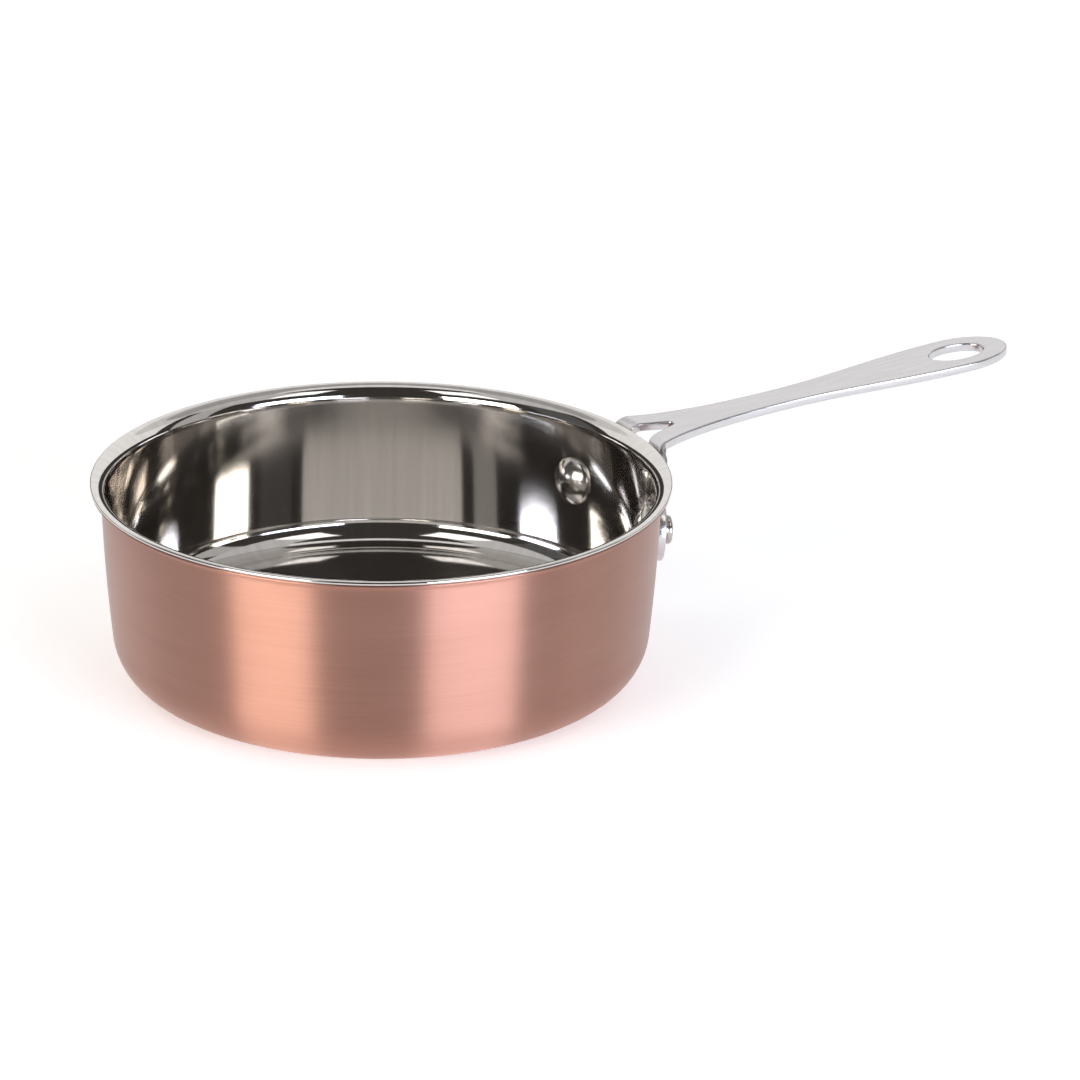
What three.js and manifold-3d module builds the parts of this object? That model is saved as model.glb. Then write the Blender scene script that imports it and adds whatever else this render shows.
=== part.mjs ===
// Small serving pan: a body of two bonded layers with a thick core in its base, a stamped fork handle
// and two rivets.
// Millimetres, +Z up, +X along the handle, origin at the centre of the base's underside.

import * as THREE from 'three';
import { mergeVertices } from 'three/addons/utils/BufferGeometryUtils.js';
import Module from 'manifold-3d';

const wasm = await Module();
wasm.setup();

const radians = THREE.MathUtils.degToRad;

// Body: the layers lie together in the wall and part round the core. Measured outside, unless noted.
const RIM_RADIUS = 63.5;
const RIM_HEIGHT = 45.5;
const WALL_DRAFT = radians(1.5); // the wall leans out by this much at its top
const WALL_BOW = 400; // radius to which the wall bows, so that it leans out more lower down
const CORNER_RADIUS = 11.4; // between the base and the wall
const FLOOR_HEIGHT = 9; // the floor inside, above the base's underside
const FLOOR_CORNER = 6; // between that floor and the wall, inside
const FLARE_RADIUS = 3.2; // on the flare's upper, steel side
const LIP_FLAT = 0.6; // level strip at the very edge of the rim

// Layers of the body, from the inside out.
const STEEL_SHEET = 0.8;
const BOND_GAP = 0.1;
const COPPER_SHEET = 0.5;

// Handle blade, seen from above.
const HANDLE_REACH = 95; // from the rim's edge to the tip
const NECK_REACH = 35.5; // from the rim's edge to the narrowest place
const NECK_WIDTH = 8.5;
const END_WIDTH = 16.6;
const END_LENGTH = 12.5; // half ellipse that rounds the tip
const HOLE_LENGTH = 13.4;
const HOLE_WIDTH = 8.8;

// Fork: the opening at the blade's root and the ears on the wall.
const CROTCH_REACH = 8.9; // from the rim's edge to the opening's tip
const CROTCH_RADIUS = 1.2;
const EAR_RADIUS = 7;
const EAR_ANGLE = radians(17); // from the handle's middle line to each rivet, round the body
const EAR_ENTRY = radians(62); // slope at which the fork's outer edge runs into the ear
const EAR_STOP = radians(10); // the ear's round stops short of its lowest point and leaves a small flat

// Long curves of the blade and the fork: how far each end keeps its direction, as a share of the run.
const TAPER_HOLD = 0.36;
const NECK_HOLD = 0.8;
const EAR_HOLD = 0.21;

// Handle sheet, seen from the side.
const HANDLE_SHEET = 2;
const BLADE_SLOPE = radians(4.3); // the blade rises towards the tip
const BLADE_RISE = 0.8; // blade's top above the rim's top, taken at the rim's edge
const BEND_RADIUS = 0.8; // inside of the bend from the blade to the leg
const LEG_DROP = 3.2; // from the rim's top to where the leg turns in under the rim
const JOG_DROP = 5.5; // height over which the leg comes in to the wall
const JOG_RADIUS = 3; // middle of the sheet

// Rivets: a wide dome inside the pan, a plain upset end on the ear.
const SHANK_RADIUS = 2.5;
const DOME_RADIUS = 5.4;
const DOME_HEIGHT = 2.2;
const UPSET_RADIUS = 3.2;
const UPSET_HEIGHT = 2;
const UPSET_EDGE = 0.6; // rounding of the upset end

// Clearances.
const RIM_GAP = 0.3; // between the rim's edge and the handle's leg
const SEAT_GAP = 0.3; // between pieces that are clamped together
const HOLE_GAP = 0.3; // round a rivet's shank

// Fineness of the curved faces.
const BODY_SIDES = 64;
const CORNER_STEPS = 6;
const WALL_STEPS = 3;
const FLARE_STEPS = 4;
const END_STEPS = 7;
const TAPER_STEPS = 8;
const FORK_STEPS = 24;
const CROTCH_STEPS = 4;
const LEG_STEPS = 24;
const EAR_STEPS = 12;
const INNER_EAR_STEPS = 5;
const ACROSS_STEPS = 10;
const RIVET_SIDES = 20;
const RIVET_STEPS = 4;
const HOLE_STEPS = 12;

// Cutters reach past what they cut by this much.
const CUT_OVERRUN = 0.5;
// Points nearer than this are one point.
const SAME_POINT = 1e-4;

const stainlessSteel = new THREE.MeshStandardMaterial({ color: 0xd3cdc7, roughness: 0.12, metalness: 1 });
const brushedCopper = new THREE.MeshStandardMaterial({ color: 0xbc8673, roughness: 0.38, metalness: 1 });
const satinSteel = new THREE.MeshStandardMaterial({ color: 0xd6d3d3, roughness: 0.32, metalness: 1 });
const rolledAluminium = new THREE.MeshStandardMaterial({ color: 0xc4c6c8, roughness: 0.45, metalness: 1 });

// A closed geometry as a solid that can be joined and cut.
function solidOf(geometry) {
	const bare = geometry.clone();
	bare.deleteAttribute('normal');
	bare.deleteAttribute('uv');
	const merged = mergeVertices(bare, SAME_POINT);
	const triVerts = [];
	for (let i = 0; i < merged.index.count; i += 3) {
		const [a, b, c] = [0, 1, 2].map((k) => merged.index.getX(i + k));
		// A triangle that ends on the axis or at the tip of an outline has shrunk to a line.
		if (a !== b && b !== c && c !== a) triVerts.push(a, b, c);
	}
	return new wasm.Manifold(new wasm.Mesh({
		numProp: 3,
		vertProperties: new Float32Array(merged.attributes.position.array),
		triVerts: new Uint32Array(triVerts),
	}));
}

function meshOf(name, solid, material) {
	const { vertProperties, triVerts } = solid.getMesh();
	const geometry = new THREE.BufferGeometry();
	geometry.setAttribute('position', new THREE.BufferAttribute(vertProperties, 3));
	geometry.setIndex(new THREE.BufferAttribute(triVerts, 1));
	geometry.computeVertexNormals();
	const mesh = new THREE.Mesh(geometry, material);
	mesh.name = name;
	return mesh;
}

function arcPoints(centre, radius, from, to, steps) {
	const clockwise = to < from;
	return new THREE.EllipseCurve(centre.x, centre.y, radius, radius, from, to, clockwise).getPoints(steps);
}

// Body profile: x is the distance from the axis, y the height.
const BODY_WALL = STEEL_SHEET + BOND_GAP + COPPER_SHEET;
const flareCentre = new THREE.Vector2(RIM_RADIUS - LIP_FLAT, RIM_HEIGHT - FLARE_RADIUS);
// The wall's inner face is an arc about this point, which touches the flare's arc at the wall's top.
const wallCentre = new THREE.Vector2(-Math.cos(WALL_DRAFT), Math.sin(WALL_DRAFT))
	.multiplyScalar(WALL_BOW + FLARE_RADIUS)
	.add(flareCentre);
// Each form is its inner face: the height of its floor, and the radius from there to the wall.
const linerForm = { floor: FLOOR_HEIGHT, corner: FLOOR_CORNER };
const shellForm = { floor: BODY_WALL, corner: CORNER_RADIUS - BODY_WALL };

// Distance from the axis to an arc about the wall's centre, at a height.
function bowRadius(radius, height) {
	return wallCentre.x + Math.sqrt(radius ** 2 - (wallCentre.y - height) ** 2);
}

// The corner's arc touches the floor and the wall.
function cornerCentre({ floor, corner }) {
	return new THREE.Vector2(bowRadius(WALL_BOW - corner, floor + corner), floor + corner);
}

// A form's surface at a depth below its inner face: from the axis out to the rim's edge.
function bodySurface(form, depth) {
	const centre = cornerCentre(form);
	const cornerEnd = Math.atan2(centre.y - wallCentre.y, centre.x - wallCentre.x);
	const wall = arcPoints(wallCentre, WALL_BOW + depth, cornerEnd, -WALL_DRAFT, WALL_STEPS);
	return [
		new THREE.Vector2(0, form.floor - depth),
		...arcPoints(centre, form.corner + depth, -Math.PI / 2, cornerEnd, CORNER_STEPS),
		...wall.slice(1, -1),
		...arcPoints(flareCentre, FLARE_RADIUS - depth, Math.PI - WALL_DRAFT, Math.PI / 2, FLARE_STEPS),
		new THREE.Vector2(RIM_RADIUS, RIM_HEIGHT - depth),
	];
}

function turned(profile) {
	return solidOf(new THREE.LatheGeometry(profile, BODY_SIDES).rotateX(Math.PI / 2));
}

function bodyLayer(form, innerDepth, outerDepth) {
	return turned([...bodySurface(form, outerDepth), ...bodySurface(form, innerDepth).reverse()]);
}

// The core fills the shell from its base up to the liner's floor, with the bond's gap to both.
function coreDisc() {
	const top = new THREE.Vector2(0, RIM_HEIGHT);
	const filled = turned([...bodySurface(shellForm, STEEL_SHEET), top]);
	return filled.trimByPlane([0, 0, -1], STEEL_SHEET + BOND_GAP - FLOOR_HEIGHT);
}

// Handle section: the middle of the sheet, from the tip in to the rim and down the wall.
const TIP_RADIUS = RIM_RADIUS + HANDLE_REACH;
const LEG_RADIUS = RIM_RADIUS + RIM_GAP + HANDLE_SHEET / 2;
const JOG_TOP = RIM_HEIGHT - LEG_DROP;
const EAR_TOP = JOG_TOP - JOG_DROP;
const RIVET_HEIGHT = EAR_TOP - EAR_RADIUS;
const EAR_END = RIVET_HEIGHT - EAR_RADIUS - 2 * CUT_OVERRUN;

function bladeHeight(radius) {
	const top = RIM_HEIGHT + BLADE_RISE + (radius - RIM_RADIUS) * Math.tan(BLADE_SLOPE);
	return top - HANDLE_SHEET / 2 / Math.cos(BLADE_SLOPE);
}

// The ears are straight: they follow the wall's outside as it leans at the rivets.
const EAR_DRAFT = Math.asin((wallCentre.y - RIVET_HEIGHT) / (WALL_BOW + BODY_WALL));
const OUTER_RADIUS = bowRadius(WALL_BOW + BODY_WALL, RIVET_HEIGHT);

function earRadiusAt(height) {
	const middle = OUTER_RADIUS + (SEAT_GAP + HANDLE_SHEET / 2) / Math.cos(EAR_DRAFT);
	return middle + (height - RIVET_HEIGHT) * Math.tan(EAR_DRAFT);
}

// A line through the corners, with each inner corner rounded.
function roundedPath(corners, radii) {
	const path = new THREE.Path().moveTo(corners[0].x, corners[0].y);
	for (let i = 1; i < corners.length - 1; i += 1) {
		const into = corners[i].clone().sub(corners[i - 1]).normalize();
		const out = corners[i + 1].clone().sub(corners[i]).normalize();
		const side = Math.sign(into.cross(out));
		const radius = radii[i - 1];
		const run = radius * Math.tan(Math.acos(into.dot(out)) / 2);
		const start = corners[i].clone().addScaledVector(into, -run);
		const centre = new THREE.Vector2(-into.y, into.x).multiplyScalar(side * radius).add(start);
		const from = Math.atan2(-into.x * side, into.y * side);
		const to = Math.atan2(-out.x * side, out.y * side);
		path.lineTo(start.x, start.y).absarc(centre.x, centre.y, radius, from, to, side < 0);
	}
	const last = corners[corners.length - 1];
	return path.lineTo(last.x, last.y);
}

const section = roundedPath(
	[
		new THREE.Vector2(TIP_RADIUS, bladeHeight(TIP_RADIUS)),
		new THREE.Vector2(LEG_RADIUS, bladeHeight(LEG_RADIUS)),
		new THREE.Vector2(LEG_RADIUS, JOG_TOP),
		new THREE.Vector2(earRadiusAt(EAR_TOP), EAR_TOP),
		new THREE.Vector2(earRadiusAt(EAR_END), EAR_END),
	],
	[BEND_RADIUS + HANDLE_SHEET / 2, JOG_RADIUS, JOG_RADIUS],
);
const SECTION_LENGTH = section.getLength();

// Bends the flat blank: along it from the tip, across it, and off the middle of the sheet.
function bend(along, across, off) {
	const middle = section.getPoint(along / SECTION_LENGTH);
	const heading = section.getTangent(along / SECTION_LENGTH);
	const radius = middle.x + off * heading.y;
	const angle = across / middle.x;
	return [radius * Math.cos(angle), radius * Math.sin(angle), middle.y - off * heading.x];
}

// A bent strip: its outline gives, at each step along the blank, half of its width.
function bentStrip(outline, thickness) {
	const rows = outline.length - 1;
	const strip = new THREE.BoxGeometry(1, 1, thickness, rows, ACROSS_STEPS, 1);
	const points = strip.attributes.position;
	for (let i = 0; i < points.count; i += 1) {
		const row = outline[Math.round((points.getX(i) + 0.5) * rows)];
		points.setXYZ(i, ...bend(row.x, -2 * row.y * points.getY(i), points.getZ(i)));
	}
	return solidOf(strip);
}

// Flat blank of the handle: x runs along it from the tip, y across it from its middle line.
const alongBlade = (radius) => (TIP_RADIUS - radius) / Math.cos(BLADE_SLOPE);
const NECK_ALONG = alongBlade(RIM_RADIUS + NECK_REACH);
const earCentre = new THREE.Vector2(
	SECTION_LENGTH - (RIVET_HEIGHT - EAR_END) / Math.cos(EAR_DRAFT),
	EAR_ANGLE * earRadiusAt(RIVET_HEIGHT),
);

function outerEdge() {
	const endWide = new THREE.Vector2(END_LENGTH, END_WIDTH / 2);
	const neck = new THREE.Vector2(NECK_ALONG, NECK_WIDTH / 2);
	const entry = new THREE.Vector2(-Math.sin(EAR_ENTRY), Math.cos(EAR_ENTRY)).multiplyScalar(EAR_RADIUS);
	entry.add(earCentre);
	const taper = (neck.x - endWide.x) * TAPER_HOLD;
	const run = entry.x - neck.x;
	const entryHeading = new THREE.Vector2(Math.cos(EAR_ENTRY), Math.sin(EAR_ENTRY));
	const stretches = [
		new THREE.EllipseCurve(END_LENGTH, 0, END_LENGTH, END_WIDTH / 2, Math.PI, Math.PI / 2, true)
			.getPoints(END_STEPS),
		new THREE.CubicBezierCurve(
			endWide,
			new THREE.Vector2(endWide.x + taper, endWide.y),
			new THREE.Vector2(neck.x - taper, neck.y),
			neck,
		).getPoints(TAPER_STEPS),
		new THREE.CubicBezierCurve(
			neck,
			new THREE.Vector2(neck.x + run * NECK_HOLD, neck.y),
			entry.clone().addScaledVector(entryHeading, -run * EAR_HOLD),
			entry,
		).getPoints(FORK_STEPS),
		arcPoints(earCentre, EAR_RADIUS, Math.PI / 2 + EAR_ENTRY, EAR_STOP, EAR_STEPS),
	];
	return stretches.flatMap((points, i) => (i === 0 ? points : points.slice(1)));
}

// Edge of the opening between the legs: round its tip, then straight until it touches the ear.
function innerEdge() {
	const crotchCentre = new THREE.Vector2(alongBlade(RIM_RADIUS + CROTCH_REACH) + CROTCH_RADIUS, 0);
	const toEar = earCentre.clone().sub(crotchCentre);
	const slope = toEar.angle() - Math.asin((EAR_RADIUS + CROTCH_RADIUS) / toEar.length());
	const across = new THREE.Vector2(-Math.sin(slope), Math.cos(slope));
	const leaves = crotchCentre.clone().addScaledVector(across, CROTCH_RADIUS);
	const touches = earCentre.clone().addScaledVector(across, -EAR_RADIUS);
	const below = arcPoints(earCentre, EAR_RADIUS, slope - Math.PI / 2, -EAR_STOP, INNER_EAR_STEPS);
	const bottom = below[below.length - 1];
	return [
		...arcPoints(crotchCentre, CROTCH_RADIUS, Math.PI, Math.PI / 2 + slope, CROTCH_STEPS),
		...new THREE.LineCurve(leaves, touches).getPoints(LEG_STEPS).slice(1),
		...below.slice(1),
		new THREE.Vector2(bottom.x + CUT_OVERRUN, bottom.y),
	];
}

// Rivets stand square to the wall, and their own axis starts at the body's inner face.
const STACK = BODY_WALL + SEAT_GAP + HANDLE_SHEET;
const INNER_RADIUS = OUTER_RADIUS - BODY_WALL / Math.cos(EAR_DRAFT);
// The dome's flat underside clears the hollow of the wall by the gap at its rim.
const DOME_LIFT = DOME_RADIUS ** 2 / (2 * INNER_RADIUS) + SEAT_GAP;

// Turns something built about the Y axis to stand in the wall, at an angle round the body.
function standInWall(object, angle) {
	object.rotation.set(0, EAR_DRAFT, -Math.PI / 2);
	object.position.set(INNER_RADIUS, 0, RIVET_HEIGHT);
	const turned = new THREE.Group();
	turned.rotation.z = angle;
	turned.add(object);
	turned.updateMatrixWorld(true);
	return turned;
}

function rivetHole(angle) {
	const radius = SHANK_RADIUS + HOLE_GAP;
	const length = 2 * (STACK + DOME_LIFT);
	const drill = new THREE.Mesh(new THREE.CylinderGeometry(radius, radius, length, RIVET_SIDES));
	standInWall(drill, angle);
	return solidOf(drill.geometry.applyMatrix4(drill.matrixWorld));
}

function rivetGeometry() {
	// The dome is the cap of a sphere.
	const sphere = (DOME_RADIUS ** 2 + DOME_HEIGHT ** 2) / (2 * DOME_HEIGHT);
	const domeCentre = new THREE.Vector2(0, sphere - DOME_HEIGHT - DOME_LIFT);
	const domeEdge = Math.asin(DOME_RADIUS / sphere);
	const upset = STACK + SEAT_GAP;
	const edgeCentre = new THREE.Vector2(UPSET_RADIUS - UPSET_EDGE, upset + UPSET_HEIGHT - UPSET_EDGE);
	const profile = [
		...arcPoints(domeCentre, sphere, -Math.PI / 2, domeEdge - Math.PI / 2, RIVET_STEPS),
		new THREE.Vector2(SHANK_RADIUS, -DOME_LIFT),
		new THREE.Vector2(SHANK_RADIUS, upset),
		new THREE.Vector2(UPSET_RADIUS, upset),
		...arcPoints(edgeCentre, UPSET_EDGE, 0, Math.PI / 2, RIVET_STEPS),
		new THREE.Vector2(0, upset + UPSET_HEIGHT),
	];
	return new THREE.LatheGeometry(profile, RIVET_SIDES);
}

function rivet(name, angle) {
	return standInWall(meshOf(name, solidOf(rivetGeometry()), satinSteel), angle);
}

function hangHole() {
	const ellipse = new THREE.Shape();
	ellipse.absellipse(TIP_RADIUS - END_LENGTH, 0, HOLE_LENGTH / 2, HOLE_WIDTH / 2, 0, 2 * Math.PI);
	const low = bladeHeight(RIM_RADIUS) - HANDLE_SHEET;
	const depth = bladeHeight(TIP_RADIUS) + HANDLE_SHEET - low;
	const plug = new THREE.ExtrudeGeometry(ellipse, { depth, bevelEnabled: false, curveSegments: HOLE_STEPS });
	return solidOf(plug.translate(0, 0, low));
}

const rivetAngles = { rivet_right: EAR_ANGLE, rivet_left: -EAR_ANGLE };
const holes = Object.values(rivetAngles).map(rivetHole);
const drilled = (solid) => holes.reduce((left, hole) => left.subtract(hole), solid);

const steelLiner = drilled(bodyLayer(linerForm, 0, STEEL_SHEET));
const copperShell = drilled(bodyLayer(shellForm, STEEL_SHEET + BOND_GAP, BODY_WALL));
const opening = bentStrip(innerEdge(), HANDLE_SHEET + 2 * CUT_OVERRUN);
const handle = drilled(bentStrip(outerEdge(), HANDLE_SHEET).subtract(opening).subtract(hangHole()));

const pan = new THREE.Group();
pan.add(meshOf('steel_liner', steelLiner, stainlessSteel));
pan.add(meshOf('base_core', coreDisc(), rolledAluminium));
pan.add(meshOf('copper_shell', copperShell, brushedCopper));
pan.add(meshOf('handle', handle, satinSteel));
for (const [name, angle] of Object.entries(rivetAngles)) pan.add(rivet(name, angle));

export default pan;
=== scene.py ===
# %% [markdown]
# # A small copper serving pan
#
# This lesson dresses a small serving pan: a drawn body with a copper outside and a polished steel
# inside, a stamped steel handle with a wishbone fork, and two rivets. The sizes of the pan are fixed
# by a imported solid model, which is loaded first. Each step then makes one visible piece in the same
# place, or one finish, and says why it is made that way.

# %% Load the solid model as a fixed frame
import math

import bmesh
import bpy
import numpy as np
from mathutils import Matrix, Vector


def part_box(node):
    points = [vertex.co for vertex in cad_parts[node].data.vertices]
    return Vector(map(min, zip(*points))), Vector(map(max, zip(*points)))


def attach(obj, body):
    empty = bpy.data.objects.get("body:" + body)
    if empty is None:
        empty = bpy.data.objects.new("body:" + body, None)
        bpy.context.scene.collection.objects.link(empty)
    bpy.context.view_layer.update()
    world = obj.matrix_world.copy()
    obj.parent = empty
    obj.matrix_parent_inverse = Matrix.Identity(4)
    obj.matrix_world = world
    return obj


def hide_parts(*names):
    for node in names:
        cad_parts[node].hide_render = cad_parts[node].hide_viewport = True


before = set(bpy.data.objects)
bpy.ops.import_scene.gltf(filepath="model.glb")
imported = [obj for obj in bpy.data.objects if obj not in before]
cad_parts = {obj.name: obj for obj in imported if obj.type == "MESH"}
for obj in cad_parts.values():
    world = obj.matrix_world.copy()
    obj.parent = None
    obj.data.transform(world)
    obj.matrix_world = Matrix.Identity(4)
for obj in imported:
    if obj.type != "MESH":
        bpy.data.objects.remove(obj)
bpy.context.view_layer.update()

MM = 0.001

# %% [markdown]
# ## Working in millimetres
#
# Blender works in metres and pans are measured in millimetres, so sizes are written as a number
# times MM. The radius and the height of the rim could be typed in as well, but they are read from the
# solid model, so that the dressed pan can't drift away from it. Every other size is written once,
# where a piece first needs it.

# %% Size of the rim
rim_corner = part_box("steel_liner")[1]
RIM_RADIUS = rim_corner.x
RIM_HEIGHT = rim_corner.z
print(f"rim: radius {RIM_RADIUS / MM:.1f} mm, height {RIM_HEIGHT / MM:.1f} mm")

# %% [markdown]
# ## The camera
#
# The photograph looks down on the pan from about 21 degrees, from far away with a long lens, and the
# handle points to the right and away. The camera is described the same way: how far the handle is
# turned, how high the view is, how far off it stands and where the centre of the rim falls in the
# picture. A Track To constraint would aim a camera too, but it puts the target in the middle of the
# picture, and the pan isn't there. A camera looks along its own -Z, so the view is built from three
# turns and then moved back along the ray to the rim.

# %% Camera
HANDLE_TURN = math.radians(27.7)
VIEW_HEIGHT = math.radians(20.86)
VIEW_ROLL = math.radians(0.62)
VIEW_DISTANCE = 1309.2 * MM
LENS = 200
SENSOR = 36
PICTURE = 1080
RIM_CENTRE_IN_PICTURE = (381.5, 480.4)
# What shows as the rim's outline is the widest ring of the lip, a little below its top.
WIDEST_RING_DROP = 0.72 * MM

beside_handle = Matrix.Rotation(-HANDLE_TURN, 4, "Z")
look_down = Matrix.Rotation(math.pi / 2 - VIEW_HEIGHT, 4, "X")
look = beside_handle @ look_down @ Matrix.Rotation(VIEW_ROLL, 4, "Z")
pixel = SENSOR / LENS / PICTURE
aside = (RIM_CENTRE_IN_PICTURE[0] - PICTURE / 2) * pixel
above = (PICTURE / 2 - RIM_CENTRE_IN_PICTURE[1]) * pixel
rim_from_camera = Vector((aside, above, -1)).normalized() * VIEW_DISTANCE
rim_centre = Vector((0, 0, RIM_HEIGHT - WIDEST_RING_DROP))

camera = bpy.data.objects.new("camera", bpy.data.cameras.new("camera"))
camera.data.lens = LENS
camera.data.sensor_width = SENSOR
camera.matrix_world = Matrix.Translation(rim_centre - look.to_3x3() @ rim_from_camera) @ look
bpy.context.scene.collection.objects.link(camera)
bpy.context.scene.camera = camera
print("camera, mm:", [round(c / MM, 1) for c in camera.matrix_world.translation])

# %% [markdown]
# ## Small helpers
#
# Colours are written as the hex values that one reads off a screen, and Blender wants linear numbers,
# so one function converts them. Another adds a node to any node tree with its settings and links, and
# two short forms of it add the nodes that reckon. The nodes could be placed by hand in the editor, but
# in code a tree reads as a list of what it is made of. Every finish on this pan is a metal, so the last
# function starts a metal material.

# %% Helpers for colours and nodes
def linear(hex_colour):
    """An sRGB hex colour as linear red, green, blue and alpha."""
    parts = [int(hex_colour[i:i + 2], 16) / 255 for i in (1, 3, 5)]
    return (*[c / 12.92 if c <= 0.04045 else ((c + 0.055) / 1.055) ** 2.4 for c in parts], 1)


def add(tree, kind, inputs=None, **settings):
    """Adds a node: inputs are values, or sockets to link from."""
    node = tree.nodes.new(kind)
    for name, value in settings.items():
        setattr(node, name, value)
    for name, value in (inputs or {}).items():
        if isinstance(value, bpy.types.NodeSocket):
            tree.links.new(value, node.inputs[name])
        else:
            node.inputs[name].default_value = value
    return node


def maths(tree, operation, *values):
    """Adds a node that reckons with numbers, and returns its result."""
    return add(tree, "ShaderNodeMath", dict(enumerate(values)), operation=operation).outputs[0]


def vector_maths(tree, operation, *values):
    """Adds a node that reckons with vectors, and returns its result."""
    return add(tree, "ShaderNodeVectorMath", dict(enumerate(values)), operation=operation).outputs[0]


def metal(name):
    """A new metal material: the material, its node tree and its shader."""
    material = bpy.data.materials.new(name)
    material.use_nodes = True
    shader = material.node_tree.nodes["Principled BSDF"]
    shader.inputs["Metallic"].default_value = 1
    return material, material.node_tree, shader


print("half grey on a screen, #808080, is", round(linear("#808080")[0], 3), "in linear light")

# %% [markdown]
# ## Lines that run round a body
#
# Both sides of the body were finished while it turned on a lathe, so their fine lines run round it:
# level on the wall, in rings on the floor. A picture of scratches would need an unwrapped mesh, so a
# noise is used that reads the place on the object. It is stretched along X and Y and squeezed across
# the lines. The direction across the lines is height on the wall and distance from the axis on the
# floor, so the two are simply added.

# %% Lines round the Z axis
# Real brush lines are finer than 0.1 mm and would be lost between pixels, so they are drawn coarser.
BRUSH_WIDTH = 0.35 * MM
BRUSH_LENGTH = 30 * MM
NOISE_DETAIL = 3


def noise_at(tree, vector):
    """A noise whose grains are as large as one unit of the vector that it reads."""
    inputs = {"Vector": vector, "Scale": 1, "Detail": NOISE_DETAIL}
    return add(tree, "ShaderNodeTexNoise", inputs).outputs[0]


def turned_lines(tree, line_width, line_length):
    """A noise drawn out into lines round the Z axis."""
    place = add(tree, "ShaderNodeTexCoord").outputs["Object"]
    x, y, z = add(tree, "ShaderNodeSeparateXYZ", {0: place}).outputs
    flat = add(tree, "ShaderNodeCombineXYZ", {0: x, 1: y}).outputs[0]
    radius = add(tree, "ShaderNodeVectorMath", {0: flat}, operation="LENGTH").outputs["Value"]
    along = vector_maths(tree, "MULTIPLY", flat, (1 / line_length, 1 / line_length, 0))
    across = maths(tree, "MULTIPLY", maths(tree, "ADD", radius, z), 1 / line_width)
    up = add(tree, "ShaderNodeCombineXYZ", {2: across}).outputs[0]
    return noise_at(tree, vector_maths(tree, "ADD", along, up))


print(f"brush lines: {BRUSH_WIDTH / MM:.2f} mm wide, {BRUSH_LENGTH / MM:.0f} mm long")

# %% [markdown]
# ## From marks to a finish
#
# A worked metal is told from a plain one by three things: its colour wanders a little, its marks are
# rougher than the metal between them and catch the light, and lines that all run one way draw every
# highlight out across them. Each is a few nodes that any finish can use. Roughness and bump take the
# same noise, because on the real sheet they come from the same scratches. The drawn-out highlight
# isn't painted: it is the shader's own anisotropy, with a tangent that runs round the Z axis.

# %% Colour, tool marks and drawn-out highlights
# A noise seldom leaves this range, so the two colours of a finish are spread over it.
NOISE_LOW = 0.3
NOISE_HIGH = 0.7
# The shader counts this angle in whole turns: a quarter lays highlights across the tangent.
ACROSS_TANGENT = 0.25


def shaded(tree, shader, amount, dark, light):
    """Lets the colour run between two hex values as a noise goes from low to high."""
    ramp = add(tree, "ShaderNodeValToRGB", {0: amount})
    places = (NOISE_LOW, NOISE_HIGH)
    for stop, place, hex_colour in zip(ramp.color_ramp.elements, places, (dark, light)):
        stop.position = place
        stop.color = linear(hex_colour)
    tree.links.new(ramp.outputs[0], shader.inputs["Base Color"])


def worked(tree, shader, marks, smooth, rough, depth, strength):
    """Lets the marks of a tool change the roughness and stand up as a bump."""
    spread = add(tree, "ShaderNodeMapRange", {0: marks, "To Min": smooth, "To Max": rough})
    bump = add(tree, "ShaderNodeBump", {"Height": marks, "Distance": depth, "Strength": strength})
    tree.links.new(spread.outputs[0], shader.inputs["Roughness"])
    tree.links.new(bump.outputs[0], shader.inputs["Normal"])


def drawn_upright(tree, shader, amount):
    """Lines round a body spread the light across them, so highlights are drawn out upright."""
    tangent = add(tree, "ShaderNodeTangent", direction_type="RADIAL", axis="Z")
    tree.links.new(tangent.outputs[0], shader.inputs["Tangent"])
    shader.inputs["Anisotropic"].default_value = amount
    shader.inputs["Anisotropic Rotation"].default_value = ACROSS_TANGENT


finishes = {}


def keep_finish(name, material):
    """Keeps a finish under the name by which the pieces ask for it."""
    finishes[name] = material
    print(f"{name}: {len(material.node_tree.nodes)} nodes")


print("colours of a finish are spread over noise from", NOISE_LOW, "to", NOISE_HIGH)

# %% [markdown]
# ## Brushed copper
#
# The outside of the body is copper sheet. It was brushed round and round, which makes it satin, and it
# is taken to have a thin clear lacquer, as such pans do so that they don't turn brown. Plain copper
# with one roughness would give short, round highlights. Here the brush lines make the roughness and
# the bump, full anisotropy draws the two lamps out into upright bands, and broad clouds let the colour
# wander. The lacquer is a weak clear coat, which pales the highlights.

# %% Brushed copper
CLOUD_HEIGHT = 9 * MM
CLOUD_LENGTH = 25 * MM


def brushed_copper():
    """Copper sheet, brushed and lacquered: satin, warm, with highlights drawn out upright."""
    material, tree, shader = metal("brushed_copper")
    lines = turned_lines(tree, BRUSH_WIDTH, BRUSH_LENGTH)
    clouds = turned_lines(tree, CLOUD_HEIGHT, CLOUD_LENGTH)
    mean = maths(tree, "DIVIDE", maths(tree, "ADD", lines, clouds), 2)
    shaded(tree, shader, mean, dark="#ad7b69", light="#b98775")
    worked(tree, shader, lines, smooth=0.4, rough=0.44, depth=0.002 * MM, strength=0.4)
    drawn_upright(tree, shader, 1)
    shader.inputs["Coat Weight"].default_value = 0.6
    shader.inputs["Coat Roughness"].default_value = 0.4
    return material


keep_finish("brushed_copper", brushed_copper())

# %% [markdown]
# ## Mirror polished stainless steel
#
# The inside and the lip are stainless steel, drawn into shape and then buffed. A perfect mirror would
# look like chrome plate: buffed steel keeps very fine lines round it, and faint streaks up the wall
# from the drawing. The streaks are a noise that changes round the axis and hardly with height, so it
# reads the direction from the axis and not the place. They only tint the colour a little.

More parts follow.
